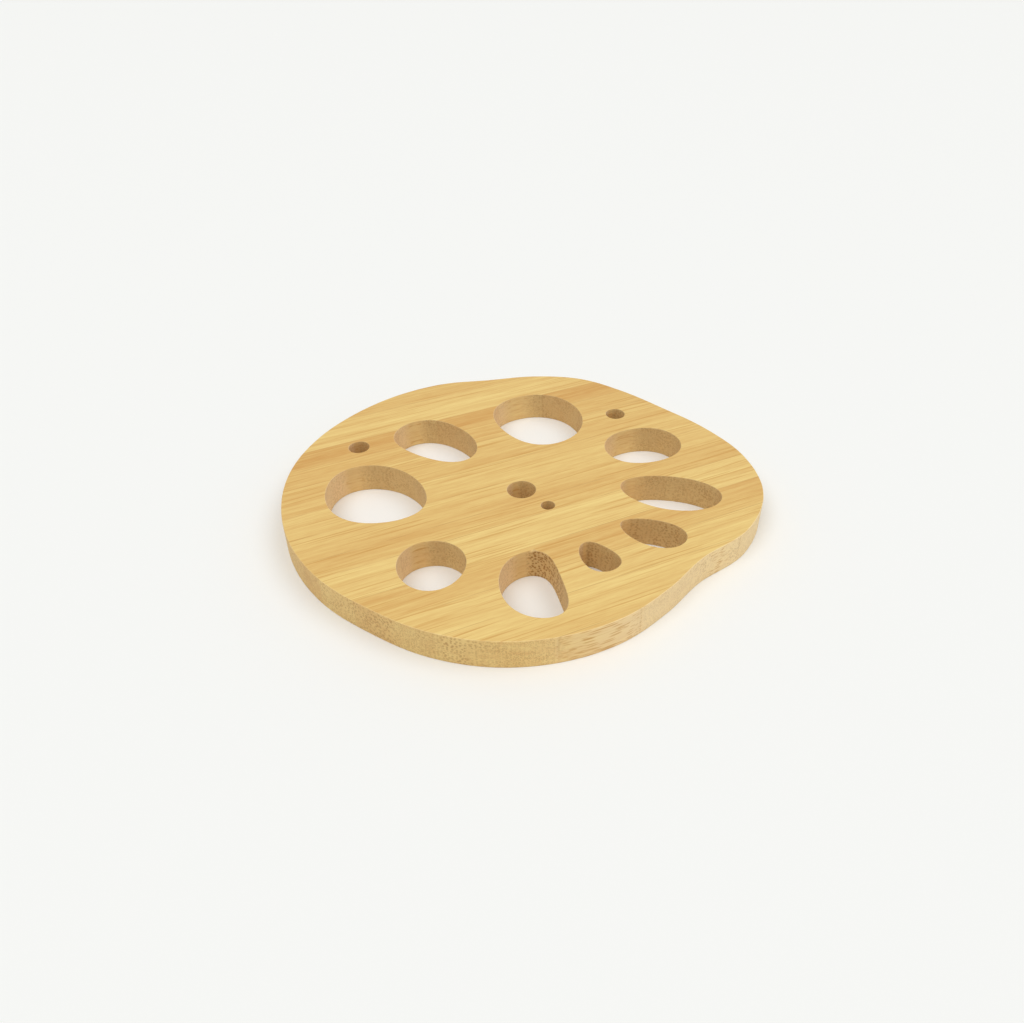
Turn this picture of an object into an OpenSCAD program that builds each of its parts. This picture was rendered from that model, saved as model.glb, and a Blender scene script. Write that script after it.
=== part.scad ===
// Flower frog: a thin organic disc of edge-glued bamboo strips, pierced to hold stems upright
// over the mouth of a vase or bowl. Units are millimetres. +X runs along the bamboo fibres,
// +Z is up, and the origin is the centre of the underside.

/* [Board] */
// Thickness of the board
thickness = 6; // [4:0.5:12]
// Distance from the centre to the rim every 15 degrees, starting along +X, turning toward +Y
rim = [
    43.6, 41.4, 41.4, 42.2, 41.1, 39.9, 41.4, 42.4,
    43.3, 44.4, 45.2, 45.2, 44.8, 44.0, 43.0, 43.1,
    43.0, 42.4, 41.4, 40.0, 39.9, 44.6, 47.1, 46.3
]; // [35:0.1:50]

/* [Glue lines, measured across the fibres from the centre] */
// Between the front sliver and strip 02
glue_01 = -40.8; // [-41.2:0.1:-38]
// Between strips 02 and 03
glue_02 = -32.6; // [-35:0.1:-31.2]
// Between strips 03 and 04
glue_03 = -26.3; // [-28:0.1:-24]
// Between strips 04 and 05
glue_04 = -19.2; // [-19.4:0.1:-18]
// Between strips 05 and 06
glue_05 = -11.5; // [-12.5:0.1:-11.3]
// Between strips 06 and 07
glue_06 = -6.8; // [-7.5:0.1:-6.5]
// Between strips 07 and 08
glue_07 = 0.2; // [0:0.1:2]
// Between strips 08 and 09
glue_08 = 7; // [6.7:0.1:8]
// Between strips 09 and 10
glue_09 = 15.5; // [15.3:0.1:17]
// Between strips 10 and 11
glue_10 = 20.9; // [19:0.1:22]
// Between strips 11 and 12
glue_11 = 27.1; // [26.8:0.1:28]
// Between strips 12 and 13
glue_12 = 36.1; // [34:0.1:38]

/* [Shaped stem holes: centre x, centre y, length, width] */
// Back right, the largest
hole_back_right = [13.5, 18.5, 20.3, 19]; // [-40:0.1:40]
// Back left, a leaning oval
hole_back_left = [-9.4, 19.7, 19.1, 13.6]; // [-40:0.1:40]
// Right
hole_right = [28.4, 0, 15.8, 13]; // [-40:0.1:40]
// Right front, a long slanted oval
hole_right_long = [24.8, -16.1, 19.1, 10.5]; // [-40:0.1:40]
// Left
hole_left = [-26.3, 7.7, 20.9, 16.8]; // [-40:0.1:40]
// Left front, almost round
hole_left_front = [-23.9, -16.3, 12.8, 12]; // [-40:0.1:40]
// Front, egg shaped
hole_front = [-9.7, -28.1, 16.5, 11.6]; // [-40:0.1:40]
// Front, small egg
hole_front_small = [3.3, -26.5, 8.5, 6.2]; // [-40:0.1:40]
// Front right, pointed egg
hole_front_right = [15.4, -24.9, 12.2, 7.3]; // [-40:0.1:40]

/* [Shape of the stem holes: turn in degrees, taper, lean, fullness] */
// Back right
shape_back_right = [94, 0.05, 0.04, 0.045]; // [-1:0.005:180]
// Back left
shape_back_left = [119, 0.11, 0.04, 0.06]; // [-1:0.005:180]
// Right
shape_right = [171, 0, 0.015, 0.04]; // [-1:0.005:180]
// Right front
shape_right_long = [143, -0.06, -0.045, 0]; // [-1:0.005:180]
// Left
shape_left = [121, 0.05, -0.055, -0.05]; // [-1:0.005:180]
// Left front
shape_left_front = [66, 0.07, 0, 0]; // [-1:0.005:180]
// Front
shape_front = [77, -0.04, -0.12, 0.085]; // [-1:0.005:180]
// Front small
shape_front_small = [101, -0.22, -0.065, 0.05]; // [-1:0.005:180]
// Front right
shape_front_right = [132, -0.175, -0.06, 0]; // [-1:0.005:180]

/* [Round stem holes: centre x, centre y, diameter] */
// Middle
bore_middle = [-0.6, -3.2, 5.5]; // [-40:0.1:40]
// The smallest, in front of the middle
bore_small = [1.8, -9.8, 2.6]; // [-40:0.1:40]
// Back left
bore_back = [-24.7, 24.4, 4.2]; // [-40:0.1:40]
// Back right
bore_right = [29.4, 13, 4]; // [-40:0.1:40]

/* [Hidden] */
$fn = 48;
// Straight steps along the rim between two of its stations
rim_steps = 4;
// Points round each shaped hole
hole_points = 40;
// How far a cutter runs past a face
over = 1;
// Past the rim on every side
far = 60;

light_strip = "BurlyWood";
dark_strip = "Tan";

shaped_holes = [
    [hole_back_right, shape_back_right],
    [hole_back_left, shape_back_left],
    [hole_right, shape_right],
    [hole_right_long, shape_right_long],
    [hole_left, shape_left],
    [hole_left_front, shape_left_front],
    [hole_front, shape_front],
    [hole_front_small, shape_front_small],
    [hole_front_right, shape_front_right]
];

// A smooth closed curve through the rim stations; s counts stations
function station(i) = rim[(i + len(rim)) % len(rim)];

function rim_radius(i, u) =
    let (a = station(i - 1), b = station(i), c = station(i + 1), d = station(i + 2))
    b + u / 2 * (c - a + u * (2 * a - 5 * b + 4 * c - d + u * (3 * b - a - 3 * c + d)));

function rim_outline() = [
    for (i = [0 : len(rim) - 1], k = [0 : rim_steps - 1])
        let (u = k / rim_steps, turn = (i + u) * 360 / len(rim), r = rim_radius(i, u))
        [r * cos(turn), r * sin(turn)]
];

// An oval with four shape values: turn, taper toward one end, lean to one side, and fullness
function hole_outline(place, shape) = [
    for (k = [0 : hole_points - 1])
        let (
            t = k * 360 / hole_points,
            along = place[2] / 2 * cos(t),
            swell = sin(t) * (1 + shape[1] * cos(t) + shape[3] * cos(2 * t)),
            across = place[3] / 2 * (swell + shape[2] * cos(2 * t))
        )
        [
            place[0] + along * cos(shape[0]) - across * sin(shape[0]),
            place[1] + along * sin(shape[0]) + across * cos(shape[0])
        ]
];

// The pierced face of the whole board
module face() {
    difference() {
        polygon(rim_outline());
        for (h = shaped_holes) {
            polygon(hole_outline(h[0], h[1]));
        }
    }
}

// One length of bamboo: the part of the board between two glue lines and two ends
module strip(front, back, left = -far, right = far) {
    linear_extrude(thickness) {
        intersection() {
            face();
            translate([left, front]) square([right - left, back - front]);
        }
    }
}

module bore(b) {
    translate([b[0], b[1], -over]) cylinder(d = b[2], h = thickness + 2 * over);
}

module strip_01() {
    color(dark_strip) strip(-far, glue_01);
}

module strip_02() {
    color(light_strip) strip(glue_01, glue_02);
}

module strip_03_left() {
    color(light_strip) strip(glue_02, glue_03, right = hole_front[0]);
}

module strip_03_right() {
    color(light_strip) strip(glue_02, glue_03, left = hole_front[0]);
}

module strip_04() {
    color(dark_strip) strip(glue_03, glue_04);
}

module strip_05_left() {
    color(light_strip) strip(glue_04, glue_05, right = hole_left_front[0]);
}

module strip_05_middle() {
    color(light_strip) strip(glue_04, glue_05, hole_left_front[0], hole_right_long[0]);
}

module strip_05_right() {
    color(light_strip) strip(glue_04, glue_05, left = hole_right_long[0]);
}

module strip_06() {
    color(dark_strip) difference() {
        strip(glue_05, glue_06);
        bore(bore_small);
    }
}

module strip_07() {
    color(light_strip) difference() {
        strip(glue_06, glue_07);
        bore(bore_middle);
    }
}

module strip_08_left() {
    color(light_strip) strip(glue_07, glue_08, right = hole_left[0]);
}

module strip_08_right() {
    color(light_strip) strip(glue_07, glue_08, left = hole_left[0]);
}

module strip_09_left() {
    color(dark_strip) strip(glue_08, glue_09, right = hole_left[0]);
}

module strip_09_right() {
    color(dark_strip) difference() {
        strip(glue_08, glue_09, left = hole_left[0]);
        bore(bore_right);
    }
}

module strip_10_left() {
    color(light_strip) strip(glue_09, glue_10, right = hole_back_left[0]);
}

module strip_10_middle() {
    color(light_strip) strip(glue_09, glue_10, hole_back_left[0], hole_back_right[0]);
}

module strip_10_right() {
    color(light_strip) strip(glue_09, glue_10, left = hole_back_right[0]);
}

module strip_11_left() {
    color(dark_strip) difference() {
        strip(glue_10, glue_11, right = hole_back_left[0]);
        bore(bore_back);
    }
}

module strip_11_middle() {
    color(dark_strip) strip(glue_10, glue_11, hole_back_left[0], hole_back_right[0]);
}

module strip_11_right() {
    color(dark_strip) strip(glue_10, glue_11, left = hole_back_right[0]);
}

module strip_12() {
    color(light_strip) strip(glue_11, glue_12);
}

module strip_13() {
    color(dark_strip) strip(glue_12, far);
}

strip_01();
strip_02();
strip_03_left();
strip_03_right();
strip_04();
strip_05_left();
strip_05_middle();
strip_05_right();
strip_06();
strip_07();
strip_08_left();
strip_08_right();
strip_09_left();
strip_09_right();
strip_10_left();
strip_10_middle();
strip_10_right();
strip_11_left();
strip_11_middle();
strip_11_right();
strip_12();
strip_13();
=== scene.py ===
"""Flower frog: a pierced disc of edge-glued bamboo strips, on a pale studio floor."""
import math

import bmesh
import bpy
from mathutils import Matrix, Vector, noise


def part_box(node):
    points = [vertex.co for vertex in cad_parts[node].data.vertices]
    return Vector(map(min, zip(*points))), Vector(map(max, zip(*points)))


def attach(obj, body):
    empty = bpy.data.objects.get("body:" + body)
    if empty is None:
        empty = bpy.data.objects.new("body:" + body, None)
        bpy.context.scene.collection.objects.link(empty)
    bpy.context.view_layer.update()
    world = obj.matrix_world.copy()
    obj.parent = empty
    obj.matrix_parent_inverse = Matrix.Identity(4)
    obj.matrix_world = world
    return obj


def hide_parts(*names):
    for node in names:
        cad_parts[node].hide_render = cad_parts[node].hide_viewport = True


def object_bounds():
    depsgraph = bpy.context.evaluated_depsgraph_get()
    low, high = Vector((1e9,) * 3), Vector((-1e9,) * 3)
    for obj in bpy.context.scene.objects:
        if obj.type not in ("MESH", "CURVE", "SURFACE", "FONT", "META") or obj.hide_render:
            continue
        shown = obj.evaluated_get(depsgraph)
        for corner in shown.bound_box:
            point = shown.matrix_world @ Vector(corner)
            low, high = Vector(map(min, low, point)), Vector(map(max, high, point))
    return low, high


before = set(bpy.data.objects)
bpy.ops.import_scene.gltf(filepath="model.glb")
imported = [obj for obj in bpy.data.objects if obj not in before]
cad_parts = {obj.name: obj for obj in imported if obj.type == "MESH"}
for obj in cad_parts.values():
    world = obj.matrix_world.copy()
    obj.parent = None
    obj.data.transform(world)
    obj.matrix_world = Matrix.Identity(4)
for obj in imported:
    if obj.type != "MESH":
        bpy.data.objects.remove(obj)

cad_low, cad_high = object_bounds()

MM = 0.001  # every length below is in millimetres until it is put into a mesh

# ---------------------------------------------------------------- the board's shape, as in the CAD
THICKNESS = (cad_high.z - cad_low.z) / MM
RIM = [
    43.6, 41.4, 41.4, 42.2, 41.1, 39.9, 41.4, 42.4,
    43.3, 44.4, 45.2, 45.2, 44.8, 44.0, 43.0, 43.1,
    43.0, 42.4, 41.4, 40.0, 39.9, 44.6, 47.1, 46.3,
]
# centre x, centre y, length, width, turn, taper, lean, fullness
HOLES = {
    "back_right": (13.5, 18.5, 20.3, 19.0, 94, 0.05, 0.04, 0.045),
    "back_left": (-9.4, 19.7, 19.1, 13.6, 119, 0.11, 0.04, 0.06),
    "right": (28.4, 0.0, 15.8, 13.0, 171, 0.0, 0.015, 0.04),
    "right_long": (24.8, -16.1, 19.1, 10.5, 143, -0.06, -0.045, 0.0),
    "left": (-26.3, 7.7, 20.9, 16.8, 121, 0.05, -0.055, -0.05),
    "left_front": (-23.9, -16.3, 12.8, 12.0, 66, 0.07, 0.0, 0.0),
    "front": (-9.7, -28.1, 16.5, 11.6, 77, -0.04, -0.12, 0.085),
    "front_small": (3.3, -26.5, 8.5, 6.2, 101, -0.22, -0.065, 0.05),
    "front_right": (15.4, -24.9, 12.2, 7.3, 132, -0.175, -0.06, 0.0),
}
# centre x, centre y, diameter
BORES = {
    "middle": (-0.6, -3.2, 5.5),
    "small": (1.8, -9.8, 2.6),
    "back": (-24.7, 24.4, 4.2),
    "side": (29.4, 13.0, 4.0),
}

RIM_STEPS = 16  # points between two rim stations
HOLE_POINTS = 160
BORE_POINTS = 56
WALL_LEVELS = 6
ARRIS_STEPS = 4
ARRIS = 0.12  # radius of the barely eased edge
ARRIS_BELOW = 0.9  # the underside's edge is eased this share of it
UNEVEN = ((0.03, 0.45), (0.04, 1.7))  # how much the radius varies, and how quickly along the edge
NICK = Vector((-6.4, -20.4, 0.0))  # a chip torn out of the front hole's far rim
NICK_DEPTH = 0.65
NICK_REACH = 0.38
CUT_DEPTH = 0.03  # the walls are never quite smooth
CUT_RHYTHM = (0.8, 2.5)
CUT_SLICE = 7.0  # keeps the walls' pattern apart from the edges'

ON_PLANE = 1e-9  # metres, for a corner that lies in a cut
SAME_POINT = 1e-7  # metres, for corners to be joined
LEVEL = 0.9999  # the upright part of a normal, on the top and the underside
SHARP = math.radians(30)  # corners that turn more are not shaded smooth


def rim_outline():
    """The CAD's rim curve, with finer steps."""
    count = len(RIM)
    out = []
    for i in range(count):
        a, b, c, d = (RIM[(i + k) % count] for k in (-1, 0, 1, 2))
        for step in range(RIM_STEPS):
            u = step / RIM_STEPS
            r = b + u / 2 * (c - a + u * (2 * a - 5 * b + 4 * c - d + u * (3 * b - a - 3 * c + d)))
            turn = math.tau * (i + u) / count
            out.append(Vector((r * math.cos(turn), r * math.sin(turn), 0.0)))
    return out


def hole_outline(x, y, length, width, turn, taper, lean, fullness):
    """The CAD's four-value oval, with finer steps."""
    cos_turn, sin_turn = math.cos(math.radians(turn)), math.sin(math.radians(turn))
    out = []
    for k in range(HOLE_POINTS):
        t = math.tau * k / HOLE_POINTS
        along = length / 2 * math.cos(t)
        swell = math.sin(t) * (1 + taper * math.cos(t) + fullness * math.cos(2 * t))
        across = width / 2 * (swell + lean * math.cos(2 * t))
        out.append(Vector((x + along * cos_turn - across * sin_turn,
                           y + along * sin_turn + across * cos_turn, 0.0)))
    return out


def bore_outline(x, y, diameter):
    """A round hole, with finer steps than the CAD's."""
    r = diameter / 2
    turns = [math.tau * k / BORE_POINTS for k in range(BORE_POINTS)]
    return [Vector((x + r * math.cos(t), y + r * math.sin(t), 0.0)) for t in turns]


def arris_radius(p):
    """The sanded edge's radius at a point: a little uneven, and wide where the chip is."""
    uneven = sum(amount * noise.noise(p * rhythm) for amount, rhythm in UNEVEN)
    chip = NICK_DEPTH * math.exp(-((p - NICK).length / NICK_REACH) ** 2)
    return ARRIS + uneven + chip


def profile(top, bottom):
    """(inset, height) pairs from the underside's edge, up the wall, to the top's edge."""
    steps = [k / ARRIS_STEPS * math.pi / 2 for k in range(ARRIS_STEPS + 1)]
    low = [(bottom * (1 - math.sin(a)), bottom * (1 - math.cos(a))) for a in steps]
    high = [(top * (1 - math.cos(a)), THICKNESS - top * (1 - math.sin(a))) for a in steps]
    wall_low, wall_high = bottom, THICKNESS - top
    wall = [(0.0, wall_low + (wall_high - wall_low) * k / WALL_LEVELS) for k in range(1, WALL_LEVELS)]
    return low + wall + high


def add_wall(bm, outline, into_wood):
    """Adds one wall with eased edges, and returns the edges of its lowest and highest ring."""
    count = len(outline)
    columns = []
    for i, p in enumerate(outline):
        along = outline[(i + 1) % count] - outline[i - 1]
        outward = Vector((along.y, -along.x, 0.0)).normalized()
        rough = CUT_DEPTH * noise.noise(Vector((p.x * CUT_RHYTHM[0], p.y * CUT_RHYTHM[1], CUT_SLICE)))
        column = []
        for inset, z in profile(arris_radius(p), ARRIS * ARRIS_BELOW):
            q = p + outward * into_wood * (inset + abs(rough))
            column.append(bm.verts.new(Vector((q.x, q.y, z)) * MM))
        columns.append(column)
    levels = len(columns[0])
    for i in range(count):
        a, b = columns[i], columns[(i + 1) % count]
        for k in range(levels - 1):
            bm.faces.new((a[k], b[k], b[k + 1], a[k + 1]))
    rings = []
    for k in (0, levels - 1):
        rings.append([bm.edges.get((columns[i][k], columns[(i + 1) % count][k])) for i in range(count)])
    return rings


def whole_board():
    """The pierced board as one closed mesh, before it is cut into its strips."""
    bm = bmesh.new()
    outlines = [(rim_outline(), -1)]
    outlines += [(hole_outline(*h), 1) for h in HOLES.values()]
    outlines += [(bore_outline(*b), 1) for b in BORES.values()]
    low, high = [], []
    for outline, into_wood in outlines:
        lowest, highest = add_wall(bm, outline, into_wood)
        low += lowest
        high += highest
    bmesh.ops.triangle_fill(bm, edges=low, normal=(0, 0, -1), use_beauty=True)
    bmesh.ops.triangle_fill(bm, edges=high, normal=(0, 0, 1), use_beauty=True)
    bmesh.ops.recalc_face_normals(bm, faces=bm.faces)
    return bm


def keep_side(bm, y, normal_y):
    """Cuts at a glue line, keeps the side that the normal points away from, and closes the cut."""
    bmesh.ops.bisect_plane(bm, geom=bm.verts[:] + bm.edges[:] + bm.faces[:], dist=ON_PLANE,
                           plane_co=(0, y * MM, 0), plane_no=(0, normal_y, 0), clear_outer=True)
    rim = [e for e in bm.edges if e.is_boundary]
    bmesh.ops.holes_fill(bm, edges=rim, sides=0)


def separate(bm):
    """The loose lengths in a strip, each as (lowest x, its faces)."""
    left, lengths = set(bm.verts), []
    while left:
        group, edge = set(), {next(iter(left))}
        while edge:
            group |= edge
            edge = {e.other_vert(v) for v in edge for e in v.link_edges} - group
        left -= group
        lengths.append((min(v.co.x for v in group), group))
    return sorted(lengths, key=lambda item: item[0])


def mesh_from(group, name):
    """One length as a mesh, shaded smooth except at its corners."""
    bm = bmesh.new()
    copies = {v: bm.verts.new(v.co) for v in group}
    for face in {f for v in group for f in v.link_faces}:
        bm.faces.new([copies[v] for v in face.verts])
    bmesh.ops.remove_doubles(bm, verts=bm.verts, dist=SAME_POINT)
    bmesh.ops.recalc_face_normals(bm, faces=bm.faces)
    for face in bm.faces:
        face.smooth = True
    for e in bm.edges:
        normals = [f.normal for f in e.link_faces]
        flat = [abs(n.z) > LEVEL for n in normals]
        turn = normals[0].angle(normals[1], 0.0) if len(normals) == 2 else math.pi
        e.smooth = turn < SHARP and not (any(flat) and not all(flat))
    mesh = bpy.data.meshes.new(name)
    bm.to_mesh(mesh)
    bm.free()
    return mesh


# ---------------------------------------------------------------- bamboo
# strip: front glue line, back glue line, tone at the front, middle and back (0 dark, 1 light),
# coarseness of the fibre bundles at the front and back (0 fine and close, 1 coarse and open)
FAR = 60.0
STRIPS = {
    1: (-FAR, -40.8, 0.60, 0.62, 0.66, 0.9, 0.8),
    2: (-40.8, -32.6, 0.66, 0.74, 0.96, 0.1, 0.95),
    3: (-32.6, -26.3, 0.98, 0.94, 0.79, 0.55, 0.0),
    4: (-26.3, -19.2, 0.68, 0.40, 0.44, 1.0, 0.8),
    5: (-19.2, -11.5, 0.92, 0.86, 1.00, 0.8, 0.5),
    6: (-11.5, -6.8, 0.64, 0.50, 0.28, 0.5, 0.3),
    7: (-6.8, 0.2, 0.42, 0.68, 0.71, 0.4, 0.6),
    8: (0.2, 7.0, 0.74, 0.75, 0.86, 0.6, 0.3),
    9: (7.0, 15.5, 0.38, 0.54, 0.62, 0.3, 0.6),
    10: (15.5, 20.9, 0.38, 0.42, 0.55, 0.6, 0.4),
    11: (20.9, 27.1, 0.28, 0.03, 0.10, 0.3, 0.5),
    12: (27.1, 36.1, 0.86, 0.90, 0.78, 0.5, 0.2),
    13: (36.1, FAR, 0.50, 0.46, 0.38, 0.3, 0.3),
}
DARK = (0.688, 0.400, 0.122)
LIGHT = (0.826, 0.588, 0.213)
BUNDLE = (0.37, 0.185, 0.05)
SCORCH = (0.58, 0.28, 0.055)  # dark fibres seen along their length
LIT_RIM = (1.0, 0.78, 0.46)  # painted light: the rim made paler where it faces the front and +X, toward the light
PALE = (0.90, 0.66, 0.36)  # the freshly cut walls of the holes
LIT_HOLE_WALL = (0.96, 0.69, 0.41)  # painted light on the cut ends in the holes that face +X, toward the light
SHADED_END = (0.54, 0.365, 0.155)  # painted shade on the cut ends that face -X, away from the light
GLUE = (0.40, 0.20, 0.06)
# the eased edges' lighter colour: partly polish from handling, partly a painted highlight
POLISH_AND_HIGHLIGHT = (0.86, 0.66, 0.33)

HALF_WIDTH = 41.6  # of the board, across the fibres
SEED = (37.1, 5.3, 11.7)  # each strip's pattern lies this far from the last one's

# noise drawn out along the fibres: stretch, repeats in a millimetre, detail, roughness
BROAD = (0.022, 0.42, 2.0, 0.5)
STREAK = (0.045, 1.3, 3.0, 0.62)
FINE = (0.10, 4.2, 2.0, 0.6)
RARE = (0.016, 2.7, 1.0, 0.5)
TONE_WEIGHTS = (0.95, 1.55, 0.85)  # of the broad, streak and fine noise in the tone

# plainer noise: stretch in x, y and z, and detail
WANDER = ((0.035, 0.12, 0.12), 1.0)
PATCHY = ((0.3, 0.45, 0.45), 2.0)
BROKEN = ((0.12, 0.3, 0.3), 2.0)
WANDER_WIDTH = 0.9

# fibre bundles: stretch, bundles in a millimetre, radius and softness as shares of their spacing
LARGE_DOTS = (0.85, 2.2, 0.43, 0.13)
SMALL_DOTS = (0.85, 3.6, 0.43, 0.15)
DASHES = (0.085, 2.8, 0.35, 0.12)
COARSE_STRINGS = (0.02, 1.9, 0.30, 0.10)
CLOSE_STRINGS = (0.02, 3.1, 0.27, 0.12)
BUNDLE_FLATNESS = 0.95
BUNDLE_DISORDER = 0.75
SMALL_DOT_STRENGTH = 0.75
COARSEST = (-3.5, -24.0, 0.0)  # the fibres are coarsest here, in the front hole's wall
COARSEST_STRENGTH = 0.7  # how much darker the dots are there

# smooth steps: from, to, and the values there where they are not 0 and 1
WALL = (0.2, 0.9, 1.0, 0.0)  # of the normal's upright part
RIM_REACH = (35.5, 37.0)  # distance from the middle
RIM_FACING = (0.1, 0.4)  # how far the surface faces away from the middle
ENDS_IN_HOLES = (0.02, 0.45)  # of the normal's part along the fibres
ENDS_ON_RIM = (0.14, 0.26)
# where the painted shade (facing -X) and the painted light (facing +X) fall, by the normal's part along X
SHADE_IN_HOLES = (-0.5, -0.05, 0.62, 0.0)
SHADE_ON_RIM = (-0.8, -0.2, 0.36, 0.0)
LIT_RIM_FACING = (-0.45, 0.3, 0.08, 0.72)
LIT_WALL_FACING = (0.05, 0.5)
DOTS_FACING = (-0.1, 0.1, 1.0, 0.55)
DOTS_PATCHY = (0.35, 0.62, 0.35, 0.62)
COARSEST_REACH = (3.5, 7.5, 1.0, 0.0)
COARSENESS_ACROSS = (0.1, 0.9)  # of the strip's width
LINE_RARITY = (0.60, 0.72)
GLUE_REACH = (0.02, 0.09, 1.0, 0.0)  # distance from the glue line
GLUE_BROKEN = (0.35, 0.65, 0.05, 0.5)
EASED_LOW = (0.08, 0.35)  # of the normal's upright part
EASED_HIGH = (0.85, 0.995, 1.0, 0.0)
WEAR_AND_HIGHLIGHT_BROKEN = (0.25, 0.75, 0.05, 0.2)

# strengths
COARSENESS_SWING = 0.5
PALE_STRENGTH = 0.35
# the painted light on the hole walls that face +X is this strong
LIT_WALL_STRENGTH = 0.55
DASHES_IN_HOLES, DASHES_ON_RIM = 0.2, 0.55
STRINGS_ON_FACES, STRINGS_ON_WALLS = 0.28, 0.1
LINES_ALONG, LINES_ON_ENDS = 0.6, 0.15
GLUE_ON_FACES, GLUE_ON_WALLS = 1.0, 0.4

ROUGHNESS = 0.40
STREAK_ROUGHNESS = 0.16
WALL_ROUGHNESS = 0.15
WORN_SMOOTHNESS = 0.12
SPECULAR = 0.35
STREAK_HEIGHT = 0.5
FINE_HEIGHT = 0.45
PIT_HEIGHT = -0.9
GLUE_HEIGHT = 0.3
BUMP_STRENGTH = 0.3
BUMP_DEPTH = 0.05


class Nodes:
    """Short names for the shader nodes that the materials use."""

    def __init__(self, name):
        self.material = bpy.data.materials.new(name)
        self.material.use_nodes = True
        self.tree = self.material.node_tree
        self.tree.nodes.clear()

    def make(self, kind, settings=(), **inputs):
        """Adds a node. An input i3 is the fourth socket, and any other goes by its name."""
        node = self.tree.nodes.new(kind)
        for key, value in dict(settings).items():
            setattr(node, key, value)
        for key, value in inputs.items():
            numbered = key[0] == "i" and key[1:].isdigit()
            self.feed(node.inputs[int(key[1:]) if numbered else key.replace("_", " ")], value)
        return node

    def feed(self, socket, value):
        """Links a socket to another node's output, or sets it to a number, a vector or a colour."""
        if isinstance(value, bpy.types.NodeSocket):
            self.tree.links.new(value, socket)
        elif socket.type == "RGBA":
            socket.default_value = (*value, 1.0)
        else:
            socket.default_value = value

    def math(self, operation, *values, clamp=False):
        return self.make("ShaderNodeMath", {"operation": operation, "use_clamp": clamp},
                         **{f"i{k}": v for k, v in enumerate(values)}).outputs[0]

    def plus(self, a, b, clamp=False):
        return self.math("ADD", a, b, clamp=clamp)

    def minus(self, a, b):
        return self.math("SUBTRACT", a, b)

    def times(self, a, b, clamp=False):
        return self.math("MULTIPLY", a, b, clamp=clamp)

    def swing(self, pattern, weight):
        """A pattern from 0 to 1, moved to swing about 0."""
        return self.times(self.minus(pattern, 0.5), weight)

    def vector(self, operation, *values, output="Vector"):
        return self.make("ShaderNodeVectorMath", {"operation": operation},
                         **{f"i{k}": v for k, v in enumerate(values)}).outputs[output]

    def ramp(self, value, low, high, to_low=0.0, to_high=1.0):
        """A smooth step of value from low to high."""
        return self.make("ShaderNodeMapRange", {"interpolation_type": "SMOOTHSTEP"},
                         i0=value, i1=low, i2=high, i3=to_low, i4=to_high).outputs[0]

    def share(self, factor, a, b):
        """A number from a, where factor is 0, to b, where it is 1."""
        return self.ramp(factor, 0.0, 1.0, a, b)

    def blend(self, factor, a, b):
        """A value between two other nodes' values."""
        return self.make("ShaderNodeMix", {"data_type": "FLOAT"}, i0=factor, i2=a, i3=b).outputs[0]

    def mix(self, factor, a, b):
        """A colour between two others."""
        return self.make("ShaderNodeMix", {"data_type": "RGBA"}, i0=factor, i6=a, i7=b).outputs[2]

    def noise(self, where, stretch, scale, detail, roughness=0.5):
        return self.make("ShaderNodeTexNoise", {"noise_dimensions": "3D"},
                         Vector=self.vector("MULTIPLY", where, stretch), Scale=scale,
                         Detail=detail, Roughness=roughness).outputs["Fac"]

    def streaks(self, where, stretch, scale, detail, roughness):
        """Noise drawn out along the fibres."""
        return self.noise(where, (stretch, 1.0, 1.0), scale, detail, roughness)

    def bundles(self, where, stretch, scale, radius, soften):
        """Fibre bundles, drawn out along X: 1 inside a bundle, 0 in the ground between."""
        cells = self.make("ShaderNodeTexVoronoi", {"voronoi_dimensions": "3D", "feature": "F1"},
                          Vector=self.vector("MULTIPLY", where, (stretch, 1.0, BUNDLE_FLATNESS)),
                          Scale=scale, Randomness=BUNDLE_DISORDER)
        return self.ramp(cells.outputs["Distance"], radius - soften, radius + soften, 1.0, 0.0)


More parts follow.
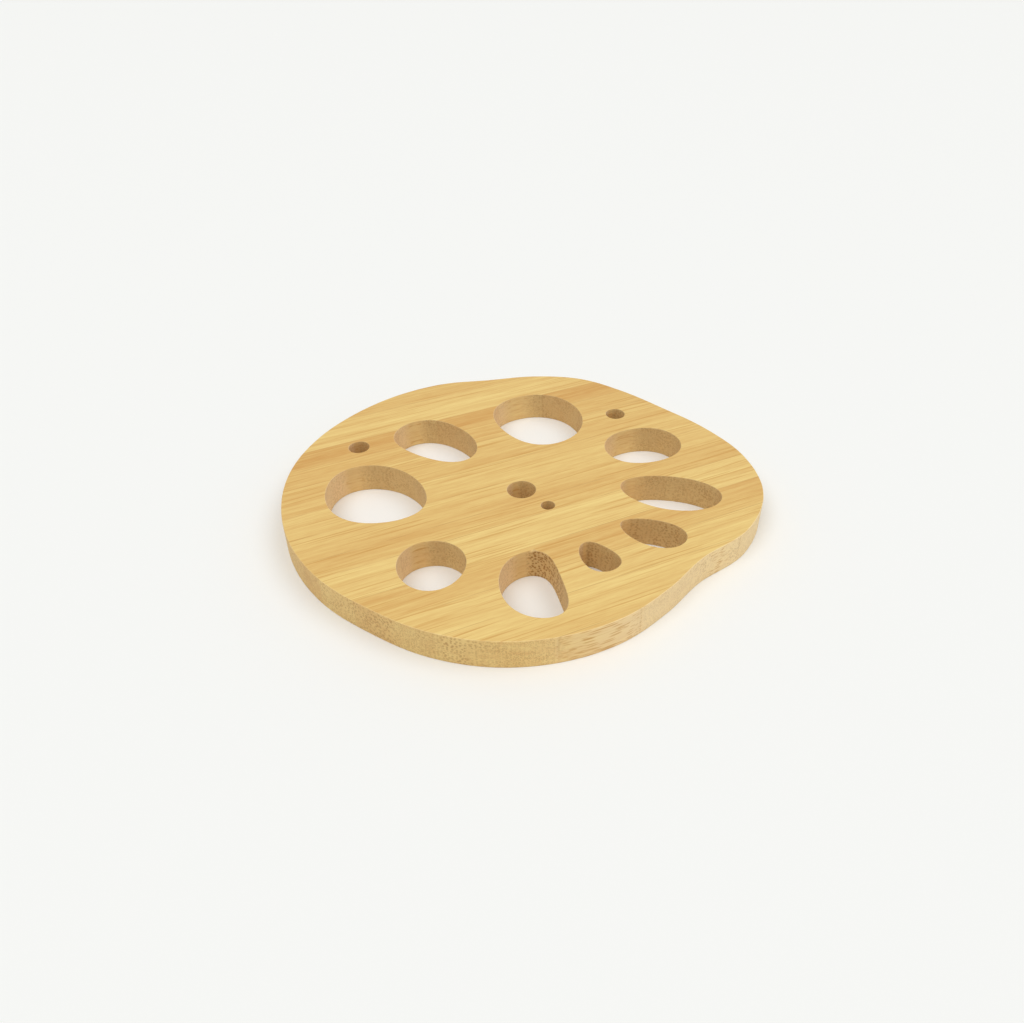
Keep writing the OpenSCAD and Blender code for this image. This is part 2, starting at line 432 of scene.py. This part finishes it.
class Bamboo(Nodes):
    """Solid bamboo for one strip: fibres along X, bundles as dots on the cut ends."""

    def __init__(self, number):
        super().__init__(f"bamboo_{number:02d}")
        self.front, self.back, *self.tones, self.coarse_front, self.coarse_back = STRIPS[number]
        self.find_place(number)
        self.read_surface()
        colour = self.mix(self.tone(), DARK, LIGHT)
        colour.node.clamp_factor = False
        colour = self.tint_walls(colour)
        colour = self.draw_bundles(colour)
        colour = self.draw_lines(colour)
        colour = self.draw_glue(colour)
        colour = self.polish_and_highlight(colour)
        self.finish(colour)

    def find_place(self, number):
        """Where a point is: in the board, across its strip, and along the wandering fibres."""
        self.p = self.vector("SCALE", self.make("ShaderNodeTexCoord").outputs["Object"])
        self.p.node.inputs["Scale"].default_value = 1 / MM
        self.y = self.make("ShaderNodeSeparateXYZ", i0=self.p).outputs["Y"]
        front, back = max(self.front, -HALF_WIDTH), min(self.back, HALF_WIDTH)
        self.across = self.math("DIVIDE", self.minus(self.y, front), back - front)
        seed = tuple(number * s for s in SEED)
        stretch, detail = WANDER
        drift = self.vector("ADD", self.vector("MULTIPLY", self.p, stretch), seed)
        wander = self.make("ShaderNodeTexNoise", {"noise_dimensions": "3D"}, Vector=drift, Scale=1.0,
                           Detail=detail, Roughness=0.5).outputs["Fac"]
        shift = self.make("ShaderNodeCombineXYZ", i1=self.swing(wander, WANDER_WIDTH)).outputs[0]
        self.bent = self.vector("ADD", self.vector("ADD", self.p, shift), seed)

    def read_surface(self):
        """Whether the surface is a wall, the rim or a hole's wall, and how squarely it cuts the fibres."""
        normal = self.make("ShaderNodeNewGeometry").outputs["Normal"]
        parts = self.make("ShaderNodeSeparateXYZ", i0=normal).outputs
        self.facing = parts["X"]
        self.flat = self.math("ABSOLUTE", parts["Z"])
        self.wall = self.ramp(self.flat, *WALL)
        self.level = self.vector("MULTIPLY", self.p, (1.0, 1.0, 0.0))
        reach = self.vector("LENGTH", self.level, output="Value")
        outward = self.vector("DOT_PRODUCT", self.vector("NORMALIZE", self.level), normal, output="Value")
        self.rim = self.times(self.ramp(reach, *RIM_REACH), self.ramp(outward, *RIM_FACING))
        steep = self.math("ABSOLUTE", self.facing)
        self.end_grain = self.blend(self.rim, self.ramp(steep, *ENDS_IN_HOLES),
                                    self.ramp(steep, *ENDS_ON_RIM))

    def tone(self):
        """Tone across the strip, from the dense outer side of the culm to the soft inner side."""
        front, middle, back = self.tones
        self.broad, self.streak, self.fine = (self.streaks(self.bent, *k) for k in (BROAD, STREAK, FINE))
        tone = self.plus(self.ramp(self.across, 0.0, 0.5, front, middle),
                         self.ramp(self.across, 0.5, 1.0, 0.0, back - middle))
        for pattern, weight in zip((self.broad, self.streak, self.fine), TONE_WEIGHTS):
            tone = self.plus(tone, self.swing(pattern, weight))
        return tone

    def tint_walls(self, colour):
        """The rim with painted light toward +X, the paler walls of the holes, and the cut ends with
        painted light on their +X side and painted shade on their -X side.
        """
        inside = self.minus(1.0, self.rim)
        # painted light on the rim, strongest where it faces +X
        colour = self.mix(self.times(self.rim, self.ramp(self.facing, *LIT_RIM_FACING)), colour, LIT_RIM)
        colour = self.mix(self.times(self.times(self.wall, inside), PALE_STRENGTH), colour, PALE)
        # painted light on the hole walls that face +X
        lit_walls = self.times(self.ramp(self.facing, *LIT_WALL_FACING), LIT_WALL_STRENGTH)
        colour = self.mix(self.times(lit_walls, inside), colour, LIT_HOLE_WALL)
        # painted shade on the walls that face -X, in the holes and on the rim
        shaded_side = self.blend(self.rim, self.ramp(self.facing, *SHADE_IN_HOLES),
                           self.ramp(self.facing, *SHADE_ON_RIM))
        return self.mix(shaded_side, colour, SHADED_END)

    def draw_bundles(self, colour):
        """Dots on the cut ends, dashes on the walls along the fibres, faint strings on the faces."""
        spot_reach = self.vector("LENGTH", self.vector("SUBTRACT", self.level, COARSEST), output="Value")
        spot = self.ramp(spot_reach, *COARSEST_REACH)
        coarse = self.ramp(self.across, *COARSENESS_ACROSS, self.coarse_front, self.coarse_back)
        coarse = self.plus(coarse, self.swing(self.broad, COARSENESS_SWING), clamp=True)
        coarse = self.plus(coarse, spot, clamp=True)
        close = self.minus(1.0, coarse)

        large = self.times(self.bundles(self.bent, *LARGE_DOTS), coarse)
        small = self.times(self.bundles(self.bent, *SMALL_DOTS), self.times(close, SMALL_DOT_STRENGTH))
        stretch, detail = PATCHY
        patchy = self.noise(self.bent, stretch, 1.0, detail)
        strength = self.plus(self.ramp(patchy, *DOTS_PATCHY), self.times(spot, COARSEST_STRENGTH))
        on_ends = self.times(self.times(self.wall, self.end_grain), strength, clamp=True)
        on_ends = self.times(on_ends, self.ramp(self.facing, *DOTS_FACING))
        self.dots = self.times(self.plus(large, small), on_ends)
        colour = self.mix(self.dots, colour, BUNDLE)

        on_sides = self.times(self.times(self.wall, self.minus(1.0, self.end_grain)),
                              self.share(self.rim, DASHES_IN_HOLES, DASHES_ON_RIM))
        colour = self.mix(self.times(self.bundles(self.bent, *DASHES), on_sides), colour, SCORCH)

        strings = self.plus(self.times(self.bundles(self.bent, *COARSE_STRINGS), coarse),
                            self.times(self.bundles(self.bent, *CLOSE_STRINGS), close))
        strings = self.times(strings, self.share(self.wall, STRINGS_ON_FACES, STRINGS_ON_WALLS))
        return self.mix(strings, colour, SCORCH)

    def draw_lines(self, colour):
        """Single dark fibres seen along the grain."""
        line = self.ramp(self.streaks(self.bent, *RARE), *LINE_RARITY)
        line = self.times(line, self.share(self.end_grain, LINES_ALONG, LINES_ON_ENDS))
        return self.mix(line, colour, SCORCH)

    def draw_glue(self, colour):
        """The glue on both long sides shows on the faces, and less on the walls."""
        gap = self.math("MINIMUM", self.math("ABSOLUTE", self.minus(self.y, self.front)),
                        self.math("ABSOLUTE", self.minus(self.y, self.back)))
        stretch, detail = BROKEN
        self.broken = self.noise(self.p, stretch, 1.0, detail)
        glue = self.times(self.ramp(gap, *GLUE_REACH), self.ramp(self.broken, *GLUE_BROKEN))
        self.glue = self.times(glue, self.share(self.wall, GLUE_ON_FACES, GLUE_ON_WALLS))
        return self.mix(self.glue, colour, GLUE)

    def polish_and_highlight(self, colour):
        """Handling has polished the eased edges a little; their lighter colour is partly that wear and
        partly a painted highlight.
        """
        eased = self.times(self.ramp(self.flat, *EASED_LOW), self.ramp(self.flat, *EASED_HIGH))
        self.wear_and_highlight = self.times(eased, self.ramp(self.broken, *WEAR_AND_HIGHLIGHT_BROKEN))
        # lighter eased edges: partly wear, partly a painted highlight
        return self.mix(self.wear_and_highlight, colour, POLISH_AND_HIGHLIGHT)

    def finish(self, colour):
        rough = self.plus(self.times(self.streak, STREAK_ROUGHNESS), self.times(self.wall, WALL_ROUGHNESS))
        rough = self.plus(rough, ROUGHNESS)
        rough = self.minus(rough, self.times(self.wear_and_highlight, WORN_SMOOTHNESS))

        height = self.plus(self.times(self.streak, STREAK_HEIGHT), self.times(self.fine, FINE_HEIGHT))
        height = self.plus(height, self.times(self.dots, PIT_HEIGHT))
        height = self.minus(height, self.times(self.glue, GLUE_HEIGHT))
        bump = self.make("ShaderNodeBump", Strength=BUMP_STRENGTH, Distance=BUMP_DEPTH * MM, Height=height)

        shader = self.make("ShaderNodeBsdfPrincipled", Base_Color=colour, Roughness=rough,
                           Normal=bump.outputs[0], Specular_IOR_Level=SPECULAR)
        self.make("ShaderNodeOutputMaterial", Surface=shader.outputs[0])


# ---------------------------------------------------------------- strips
board = whole_board()
for number, (front, back, *_rest) in STRIPS.items():
    prefix = f"strip_{number:02d}"
    names = [k for k in sorted(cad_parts) if k.startswith(prefix)]
    names.sort(key=lambda k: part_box(k)[0].x)
    strip = board.copy()
    if front > -FAR:
        keep_side(strip, front, -1)
    if back < FAR:
        keep_side(strip, back, 1)
    material = Bamboo(number).material
    lengths = separate(strip)
    if len(lengths) != len(names):
        raise RuntimeError(f"{prefix} came out in {len(lengths)} lengths, and the CAD has {len(names)}")
    for name, (_low, group) in zip(names, lengths):
        piece = bpy.data.objects.new(f"bamboo_{name}", mesh_from(group, name))
        bpy.context.scene.collection.objects.link(piece)
        piece.data.materials.append(material)
        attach(piece, "root")
        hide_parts(name)
    strip.free()
board.free()

# ---------------------------------------------------------------- floor, light and camera
FLOOR_HALF = 4000.0
FLOOR_GAP = 0.02  # below the underside, so that the two do not share a plane
PAPER = (0.908, 0.914, 0.90)
PAPER_ROUGHNESS = 0.9
PAPER_SPECULAR = 0.2

floor_mesh = bpy.data.meshes.new("floor")
side = FLOOR_HALF * MM
corners = [(-side, -side, 0), (side, -side, 0), (side, side, 0), (-side, side, 0)]
floor_mesh.from_pydata(corners, [], [(0, 1, 2, 3)])
floor = bpy.data.objects.new("floor", floor_mesh)
floor.location.z = -FLOOR_GAP * MM
bpy.context.scene.collection.objects.link(floor)
paper = Nodes("paper")
paper_bsdf = paper.make("ShaderNodeBsdfPrincipled", Base_Color=PAPER, Roughness=PAPER_ROUGHNESS,
                        Specular_IOR_Level=PAPER_SPECULAR)
paper.make("ShaderNodeOutputMaterial", Surface=paper_bsdf.outputs[0])
floor_mesh.materials.append(paper.material)

VIEW_TURN = math.radians(24)  # the camera looks across the fibres, along +Y turned this far toward +X
VIEW_PITCH = math.radians(38.1)
VIEW_ROLL = math.radians(-0.83)
VIEW_FROM = Vector((-55.76, -122.48, 103.65))
SENSOR_WIDTH = 36.0
LENS = 29.95
CLIP_NEAR, CLIP_FAR = 5.0, 20000.0

camera = bpy.data.objects.new("camera", bpy.data.cameras.new("camera"))
camera.data.sensor_width = SENSOR_WIDTH
camera.data.lens = LENS
camera.data.clip_start, camera.data.clip_end = CLIP_NEAR * MM, CLIP_FAR * MM
look = Vector((math.sin(VIEW_TURN) * math.cos(VIEW_PITCH), math.cos(VIEW_TURN) * math.cos(VIEW_PITCH),
               -math.sin(VIEW_PITCH)))
right = look.cross(Vector((0, 0, 1))).normalized()
up = right.cross(look)
turned = Matrix.Rotation(VIEW_ROLL, 3, -look)
axes = Matrix((turned @ right, turned @ up, -look)).transposed().to_4x4()
camera.matrix_world = Matrix.Translation(VIEW_FROM * MM) @ axes
bpy.context.scene.collection.objects.link(camera)
bpy.context.scene.camera = camera

ROOM_COLOUR = (1.0, 1.0, 0.985)
ROOM_STRENGTH = 0.54
SOFTBOX_WIDTH = math.radians(40)

world = bpy.data.worlds.new("studio")
bpy.context.scene.world = world
world.use_nodes = True
world.node_tree.nodes["Background"].inputs["Color"].default_value = (*ROOM_COLOUR, 1.0)
world.node_tree.nodes["Background"].inputs["Strength"].default_value = ROOM_STRENGTH


def soft_light(name, around, height, share):
    """A wide distant softbox, by degrees round from the camera's right and degrees up.

    Its share is how much of the floor's light it gives.
    """
    lamp = bpy.data.lights.new(name, "SUN")
    lamp.angle = SOFTBOX_WIDTH
    lamp.energy = share * math.pi / math.sin(math.radians(height))
    away = math.radians(around) - VIEW_TURN
    rise = math.radians(height)
    toward = Vector((math.cos(away) * math.cos(rise), math.sin(away) * math.cos(rise), math.sin(rise)))
    thing = bpy.data.objects.new(name, lamp)
    thing.rotation_euler = toward.to_track_quat("Z", "Y").to_euler()
    bpy.context.scene.collection.objects.link(thing)


soft_light("right", 0, 60, 0.18)
soft_light("front_left", 225, 60, 0.30)

bpy.context.scene.view_settings.view_transform = "Standard"
